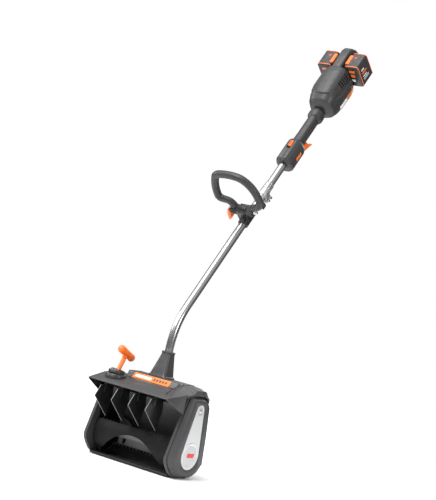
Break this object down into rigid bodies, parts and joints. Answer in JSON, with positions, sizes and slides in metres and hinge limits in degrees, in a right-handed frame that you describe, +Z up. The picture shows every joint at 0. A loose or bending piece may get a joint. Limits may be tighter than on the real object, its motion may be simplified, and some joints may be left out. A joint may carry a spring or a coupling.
{
  "type": "cordless snow blower",
  "caption": "Hand-held battery snow blower: a belt-driven paddle rotor in a hooded head with aimed discharge vanes, on a bent tube with loop handle, trigger grip and motor.",
  "frame": {"origin": "centre of the two side plates' flat soles, on the ground, midway between the plates", "axes": "+Z up, +Y towards the operator, +X to the operator's right; the steering tube lies in the X = 0 plane"},
  "size_m": [0.3574, 0.9392, 1.5065],
  "materials": {
    "charcoal_plastic": "fine-textured dark grey moulding",
    "black_plastic": "black moulding, satin",
    "orange_plastic": "orange moulding, semi-gloss",
    "red_plastic": "red push button, semi-gloss",
    "tube_aluminium": "drawn tube, fine lengthwise brushing",
    "cast_aluminium": "die-cast, satin",
    "badge_aluminium": "brushed plate",
    "steel": "turned or rolled steel",
    "black_steel": "black painted clamp knob and screws",
    "rubber": "matt black rubber",
    "copper_winding": "laminated stack with lacquered copper windings",
    "circuit_board": "green laminate"
  },
  "bodies": {
    "machine": {"auger_housing": "charcoal_plastic", "left_side_plate": "charcoal_plastic", "right_side_plate": "charcoal_plastic", "belt_cover": "charcoal_plastic", "cover_badge": "badge_aluminium", "scraper_blade": "black_plastic", "hood": "charcoal_plastic", "hood_label": "orange_plastic", "neck_socket": "charcoal_plastic", "lever_base": "charcoal_plastic", "left_bearing": "steel", "right_bearing": "steel", "drive_belt": "rubber", "gearbox_case": "cast_aluminium", "lower_tube": "tube_aluminium", "flexible_drive_shaft": "steel", "upper_tube": "tube_aluminium", "coupler_clamp": "cast_aluminium", "coupler_bolt_1": "steel", "coupler_bolt_2": "steel", "coupler_ring": "tube_aluminium", "switch_housing_left": "charcoal_plastic", "switch_housing_right": "charcoal_plastic", "trigger_switch": "black_plastic", "grip_sleeve": "charcoal_plastic", "motor_housing_left": "charcoal_plastic", "motor_housing_right": "charcoal_plastic", "rear_bumper": "rubber", "motor_stator": "copper_winding", "control_board": "circuit_board"},
    "rotor": {"rotor_shaft": "steel", "rotor_paddles": "black_plastic", "large_pulley": "steel"},
    "cross_drive": {"cross_shaft": "steel", "small_pulley": "steel", "cross_bevel_gear": "steel"},
    "input_gear": {"input_bevel_gear": "steel"},
    "motor_shaft": {"motor_rotor": "steel", "cooling_fan": "black_plastic", "upper_drive_shaft": "steel"},
    "idler": {"idler_wheel": "black_plastic"},
    "lever": {"vane_lever": "orange_plastic"},
    "tie_bar": {"vane_tie_bar": "steel"},
    "vane_1": {"vane_1": "black_plastic"},
    "vane_2": {"vane_2": "black_plastic"},
    "vane_3": {"vane_3": "black_plastic"},
    "vane_4": {"vane_4": "black_plastic"},
    "trigger": {"trigger": "orange_plastic"},
    "lock_off": {"lock_off_button": "orange_plastic"},
    "handle_mount": {"handle_clamp": "black_plastic", "clamp_bolt": "steel"},
    "handle": {"loop_handle": "charcoal_plastic"},
    "quick_lever": {"clamp_lever": "orange_plastic"},
    "knob": {"coupler_knob": "black_steel"},
    "pack_left": {"battery_left": "charcoal_plastic"},
    "pack_right": {"battery_right": "charcoal_plastic"},
    "latch_left": {"latch_left": "orange_plastic"},
    "latch_right": {"latch_right": "orange_plastic"},
    "charge_left": {"charge_button_left": "red_plastic"},
    "charge_right": {"charge_button_right": "red_plastic"}
  },
  "joints": [
    {"name": "rotor_spin", "type": "hinge", "parent": "machine", "child": "rotor", "pos_m": [0, 0.01, 0.075], "axis": [1, 0, 0], "continuous": true},
    {"name": "cross_shaft_spin", "type": "hinge", "parent": "machine", "child": "cross_drive", "pos_m": [0, 0.015, 0.214], "axis": [1, 0, 0], "continuous": true},
    {"name": "input_gear_spin", "type": "hinge", "parent": "machine", "child": "input_gear", "pos_m": [0, 0.015, 0.214], "axis": [0, 0.4472, 0.8944], "continuous": true},
    {"name": "motor_spin", "type": "hinge", "parent": "machine", "child": "motor_shaft", "pos_m": [0, 0.65209, 1.32626], "axis": [0, 0.5736, 0.8192], "continuous": true},
    {"name": "idler_spin", "type": "hinge", "parent": "machine", "child": "idler", "pos_m": [0.173, 0.0475, 0.151], "axis": [1, 0, 0], "continuous": true},
    {"name": "vane_lever_swing", "type": "hinge", "parent": "machine", "child": "lever", "pos_m": [-0.107, -0.061, 0.262], "axis": [0, 0.9205, -0.3907], "range_deg": [-20, 20]},
    {"name": "tie_bar_slide", "type": "slide", "parent": "machine", "child": "tie_bar", "axis": [1, 0, 0], "range_m": [-0.009, 0.009]},
    {"name": "vane_1_swing", "type": "hinge", "parent": "machine", "child": "vane_1", "pos_m": [-0.099, -0.112, 0.22], "axis": [0, 0, 1], "range_deg": [-25, 25]},
    {"name": "vane_2_swing", "type": "hinge", "parent": "machine", "child": "vane_2", "pos_m": [-0.033, -0.112, 0.22], "axis": [0, 0, 1], "range_deg": [-25, 25]},
    {"name": "vane_3_swing", "type": "hinge", "parent": "machine", "child": "vane_3", "pos_m": [0.033, -0.112, 0.22], "axis": [0, 0, 1], "range_deg": [-25, 25]},
    {"name": "vane_4_swing", "type": "hinge", "parent": "machine", "child": "vane_4", "pos_m": [0.099, -0.112, 0.22], "axis": [0, 0, 1], "range_deg": [-25, 25]},
    {"name": "trigger_pull", "type": "hinge", "parent": "machine", "child": "trigger", "pos_m": [0, 0.52852, 1.10271], "axis": [1, 0, 0], "range_deg": [0, 8], "stiffness_Nm_per_rad": 0.6, "springref_deg": -8.59},
    {"name": "lock_off_slide", "type": "slide", "parent": "machine", "child": "lock_off", "axis": [0, -0.5736, -0.8192], "range_m": [0, 0.007], "stiffness_N_per_m": 400, "springref_m": -0.002},
    {"name": "handle_slide", "type": "slide", "parent": "machine", "child": "handle_mount", "axis": [0, 0.5736, 0.8192], "range_m": [-0.06, 0.05]},
    {"name": "loop_tilt", "type": "hinge", "parent": "handle_mount", "child": "handle", "pos_m": [0, 0.27403, 0.85607], "axis": [1, 0, 0], "range_deg": [-30, 45]},
    {"name": "clamp_lever_open", "type": "hinge", "parent": "handle_mount", "child": "quick_lever", "pos_m": [-0.0505, 0.27403, 0.85607], "axis": [0, 0.5736, 0.8192], "range_deg": [0, 100]},
    {"name": "coupler_knob_turn", "type": "hinge", "parent": "machine", "child": "knob", "pos_m": [0, 0.37759, 0.89587], "axis": [0, -0.8192, 0.5736], "range_deg": [0, 720]},
    {"name": "battery_left_slide", "type": "slide", "parent": "machine", "child": "pack_left", "axis": [0, -0.8192, 0.5736], "range_m": [0, 0.09]},
    {"name": "latch_left_press", "type": "slide", "parent": "pack_left", "child": "latch_left", "axis": [0, 0.8192, -0.5736], "range_m": [0, 0.0035], "stiffness_N_per_m": 900, "springref_m": -0.002},
    {"name": "charge_button_left_press", "type": "slide", "parent": "pack_left", "child": "charge_left", "axis": [0, 0.8192, -0.5736], "range_m": [0, 0.001], "stiffness_N_per_m": 600, "springref_m": -0.001},
    {"name": "battery_right_slide", "type": "slide", "parent": "machine", "child": "pack_right", "axis": [0, -0.8192, 0.5736], "range_m": [0, 0.09]},
    {"name": "latch_right_press", "type": "slide", "parent": "pack_right", "child": "latch_right", "axis": [0, 0.8192, -0.5736], "range_m": [0, 0.0035], "stiffness_N_per_m": 900, "springref_m": -0.002},
    {"name": "charge_button_right_press", "type": "slide", "parent": "pack_right", "child": "charge_right", "axis": [0, 0.8192, -0.5736], "range_m": [0, 0.001], "stiffness_N_per_m": 600, "springref_m": -0.001}
  ],
  "couplings": [
    {"joint": "cross_shaft_spin", "follows": "rotor_spin", "ratio": 3.0769},
    {"joint": "input_gear_spin", "follows": "rotor_spin", "ratio": -5.1282},
    {"joint": "motor_spin", "follows": "rotor_spin", "ratio": -5.1282},
    {"joint": "idler_spin", "follows": "rotor_spin", "ratio": -7.1},
    {"joint": "tie_bar_slide", "follows": "vane_lever_swing", "m_per_rad": -0.024},
    {"joint": "vane_1_swing", "follows": "vane_lever_swing", "ratio": 1.2},
    {"joint": "vane_2_swing", "follows": "vane_lever_swing", "ratio": 1.2},
    {"joint": "vane_3_swing", "follows": "vane_lever_swing", "ratio": 1.2},
    {"joint": "vane_4_swing", "follows": "vane_lever_swing", "ratio": 1.2}
  ]
}
